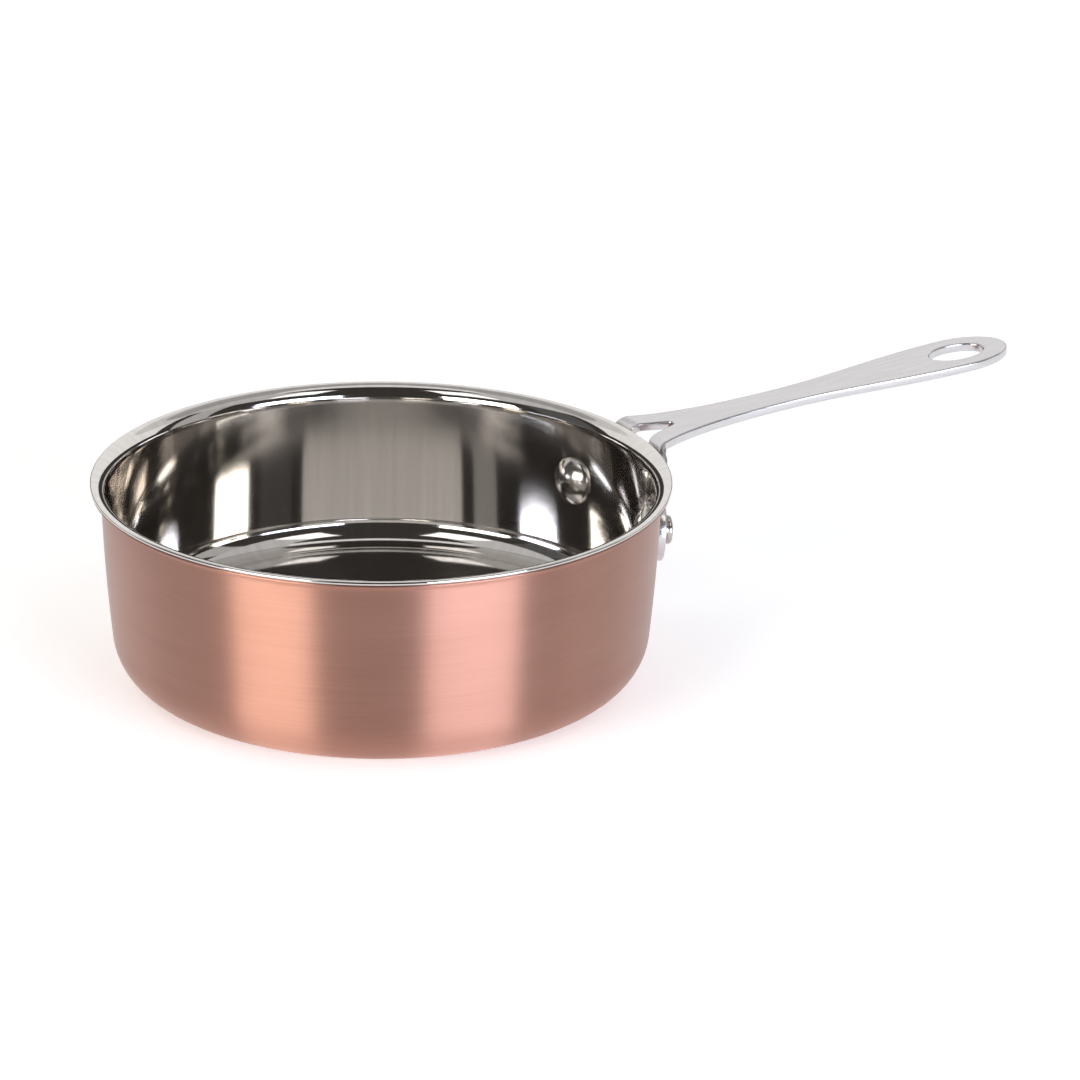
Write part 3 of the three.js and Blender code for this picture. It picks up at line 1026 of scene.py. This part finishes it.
def rivet_tree():
    """A tree that turns one rivet and stands a copy of it at each ear."""
    tree, given = new_tree(
        "rivet_pair",
        {
            "Profile": "NodeSocketGeometry",
            "Sides": "NodeSocketInt",
            "Radius": "NodeSocketFloat",
            "Ear angle": "NodeSocketFloat",
            "Foot": "NodeSocketFloat",
            "Height": "NodeSocketFloat",
            "Draft": "NodeSocketFloat",
            "Finish": "NodeSocketMaterial",
        },
        "Rivets",
    )
    one = turned(tree, given["Profile"], given["Sides"], given["Radius"])
    index = add(tree, "GeometryNodeInputIndex").outputs[0]
    side = maths(tree, "MULTIPLY_ADD", index, 2, -1)
    angle = maths(tree, "MULTIPLY", side, given["Ear angle"])
    cosine = maths(tree, "COSINE", angle)
    sine = maths(tree, "SINE", angle)
    out = add(tree, "ShaderNodeCombineXYZ", {"X": cosine, "Y": sine}).outputs[0]
    drop = maths(tree, "TANGENT", given["Draft"])
    down = add(tree, "ShaderNodeCombineXYZ", {"Z": drop}).outputs[0]
    square = vector_maths(tree, "SUBTRACT", out, down)
    reach = {0: out, "Scale": given["Foot"]}
    foot = add(tree, "ShaderNodeVectorMath", reach, operation="SCALE").outputs[0]
    lift = add(tree, "ShaderNodeCombineXYZ", {"Z": given["Height"]}).outputs[0]
    place = vector_maths(tree, "ADD", foot, lift)
    spots = add(tree, "GeometryNodePoints", {"Count": 2, "Position": place})
    stand = add(tree, "FunctionNodeAlignRotationToVector", {"Vector": square}, axis="Z")
    pair = add(
        tree,
        "GeometryNodeInstanceOnPoints",
        {"Points": spots.outputs[0], "Instance": one, "Rotation": stand.outputs[0]},
    )
    return finish_tree(tree, pair.outputs[0], given["Finish"])


rivets = run_tree(
    "rivets",
    rivet_tree(),
    rivet_profile(),
    {
        "Sides": RIVET_SIDES,
        "Radius": DOME_RADIUS,
        "Ear angle": EAR_ANGLE,
        "Foot": outer_radius - BODY_WALL / math.cos(ear_draft),
        "Height": rivet_height,
        "Draft": ear_draft,
        "Finish": finishes["burnished_steel"],
    },
)
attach(rivets, "root")
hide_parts("rivet_left", "rivet_right")
print("rivets:", len(rivets.data.polygons), "faces")

# %% [markdown]
# ## The studio
#
# Polished metal shows what stands around it more than its own colour, so the studio is built for its
# reflections: a white floor, bright boards behind and above the pan, a large softbox on each side of
# the camera and a dim room elsewhere. Everything is placed by its direction from the pan, because that
# is what a mirror asks for. The studio isn't part of the pan, so its meshes are left off the pan's
# body. Its sizes are in metres and degrees.

# %% Places in the studio
def studio_place(azimuth, elevation, distance):
    """A place given by its angles from the pan: degrees to the right of the camera, and up."""
    angle = math.radians(azimuth - 90) - HANDLE_TURN
    up = math.radians(elevation)
    level = distance * math.cos(up)
    return Vector((level * math.cos(angle), level * math.sin(angle), distance * math.sin(up)))


def stage_mesh(name, points, faces, material):
    """A mesh that belongs to the studio."""
    data = bpy.data.meshes.new(name)
    data.from_pydata(points, [], faces)
    data.materials.append(material)
    piece = bpy.data.objects.new(name, data)
    bpy.context.scene.collection.objects.link(piece)


print("one metre towards the camera:", [round(c, 2) for c in studio_place(0, 0, 1)])

# %% [markdown]
# ## White floor
#
# The pan stands on paper that shows as pure white. More light on the paper would bleach the pan as
# well. So the paper is plain matt white, and where the camera or a mirror looks at it, it glows by a
# fixed amount that lifts it to white. Light Path tells these looks from the light that the floor throws
# on the pan, and since the glow is added, the shadow stays.

# %% White floor
FLOOR_RADIUS = 5.0
FLOOR_STEP = 5
FLOOR_COLOUR = "#f7f7f7"
FLOOR_GLOW = 0.38
WHITE = (1, 1, 1, 1)


def white_floor():
    """Matt white paper that glows up to white where it is seen."""
    material = bpy.data.materials.new("white_floor")
    material.use_nodes = True
    tree = material.node_tree
    shader = tree.nodes["Principled BSDF"]
    shader.inputs["Base Color"].default_value = linear(FLOOR_COLOUR)
    shader.inputs["Roughness"].default_value = 1
    shader.inputs["Specular IOR Level"].default_value = 0
    shader.inputs["Emission Color"].default_value = WHITE
    path = add(tree, "ShaderNodeLightPath").outputs
    seen = maths(tree, "MAXIMUM", path["Is Camera Ray"], path["Is Glossy Ray"])
    glow = maths(tree, "MULTIPLY", seen, FLOOR_GLOW)
    tree.links.new(glow, shader.inputs["Emission Strength"])
    return material


rim_of_floor = [studio_place(a, 0, FLOOR_RADIUS) for a in range(0, 360, FLOOR_STEP)]
stage_mesh("floor", rim_of_floor, [tuple(range(len(rim_of_floor)))], white_floor())
print("floor:", len(rim_of_floor), "corners")

# %% [markdown]
# ## Boards round the pan
#
# The pale and grey patches inside the pan are white boards and walls, seen in the steel. A photograph
# of a studio wrapped round the scene would give some such patches, but not these. So each board is one
# part of a dome, and its brightness is set until its patch looks right. The boards were fitted to the
# reflections, so they are a guess at the studio and not a plan of it. A board is black and glows, so
# that other lamps don't change its brightness.

# %% Boards round the pan
BOARD_DISTANCE = 2.0
BOARD_STEP = 5
BLACK = (0, 0, 0, 1)
# For each board: degrees from and to round the pan, degrees up from and to, and its brightness.
boards = {
    "back_wall": (112, 250, 14, 36, 1.08),
    "back_top": (112, 250, 36, 45, 0.8),
    "left_side": (-100, -70, 0, 45, 0.12),
    "right_side": (80, 101, 0, 45, 0.55),
    "upper_left": (-62, -30, 47, 68, 2.0),
    "upper_right": (35, 62, 47, 68, 2.0),
    "upper_left_side": (-120, -62, 45, 70, 0.7),
    "upper_right_side": (62, 120, 45, 70, 0.65),
    "upper_back": (120, 240, 45, 70, 0.45),
    "roof_back": (100, 260, 70, 90, 1.0),
}


def board(name, start, stop, low, high, brightness):
    """A glowing board that follows the dome from start to stop, between two heights."""
    material = bpy.data.materials.new(name)
    material.use_nodes = True
    shader = material.node_tree.nodes["Principled BSDF"]
    shader.inputs["Base Color"].default_value = BLACK
    shader.inputs["Specular IOR Level"].default_value = 0
    shader.inputs["Emission Color"].default_value = WHITE
    shader.inputs["Emission Strength"].default_value = brightness
    turns = np.linspace(start, stop, 1 + round((stop - start) / BOARD_STEP))
    points = [studio_place(a, e, BOARD_DISTANCE) for e in (low, high) for a in turns]
    count = len(turns)
    faces = [(i, i + 1, i + 1 + count, i + count) for i in range(count - 1)]
    stage_mesh(name, points, faces, material)


for name, place in boards.items():
    board(name, *place)
print("boards:", len(boards))

# %% [markdown]
# ## Softboxes
#
# Two large softboxes light the pan. They make the two upright bands on the copper and the two white
# boxes inside the pan, so their places and sizes follow from where those lie. The left one is nearly
# white and the right one a little blue, as the bands show. An area lamp is a softbox as it is: it has a
# size, shines softly and shows in mirrors. Its power is worked out from the brightness of its surface.

# %% Softboxes
def softbox(name, azimuth, distance, height, wide, tall, brightness, hex_colour):
    """A soft light that faces the pan; brightness is what its surface shows."""
    lamp = bpy.data.lights.new(name, "AREA")
    lamp.color = linear(hex_colour)[:3]
    lamp.shape = "RECTANGLE"
    lamp.size = wide
    lamp.size_y = tall
    lamp.energy = brightness * wide * tall * math.pi
    light = bpy.data.objects.new(name, lamp)
    light.location = studio_place(azimuth, 0, distance) + Vector((0, 0, height))
    aim = Vector((0, 0, height))
    light.rotation_euler = (aim - light.location).to_track_quat("-Z", "Y").to_euler()
    light.visible_camera = False
    bpy.context.scene.collection.objects.link(light)
    print(f"{name}: {lamp.energy:.1f} W")


softbox(
    "softbox_left", azimuth=-42, distance=1.3, height=0.335,
    wide=0.78, tall=0.65, brightness=8.6, hex_colour="#fffffa",
)
softbox(
    "softbox_right", azimuth=38, distance=1.3, height=0.27,
    wide=0.9, tall=0.52, brightness=13.0, hex_colour="#e2ecff",
)

# %% [markdown]
# ## The room, and light that bounces
#
# What neither boards nor lamps cover is a dim, slightly warm room, which is the world's plain colour. A
# bright sky there would wash out the dark parts of the steel. Light that skims along the inside of the
# wall meets it many times before it leaves the pan, and would be cut off as black after four mirrors,
# so more are allowed. Standard shows colours as they are written.

# %% Room
ROOM_COLOUR = "#8c8782"
ROOM_STRENGTH = 0.2
MIRROR_BOUNCES = 12

world = bpy.data.worlds.new("room")
world.use_nodes = True
background = world.node_tree.nodes["Background"]
background.inputs["Color"].default_value = linear(ROOM_COLOUR)
background.inputs["Strength"].default_value = ROOM_STRENGTH
bpy.context.scene.world = world
bpy.context.scene.cycles.glossy_bounces = MIRROR_BOUNCES
bpy.context.scene.view_settings.view_transform = "Standard"
print("room:", ROOM_COLOUR, "at", ROOM_STRENGTH)
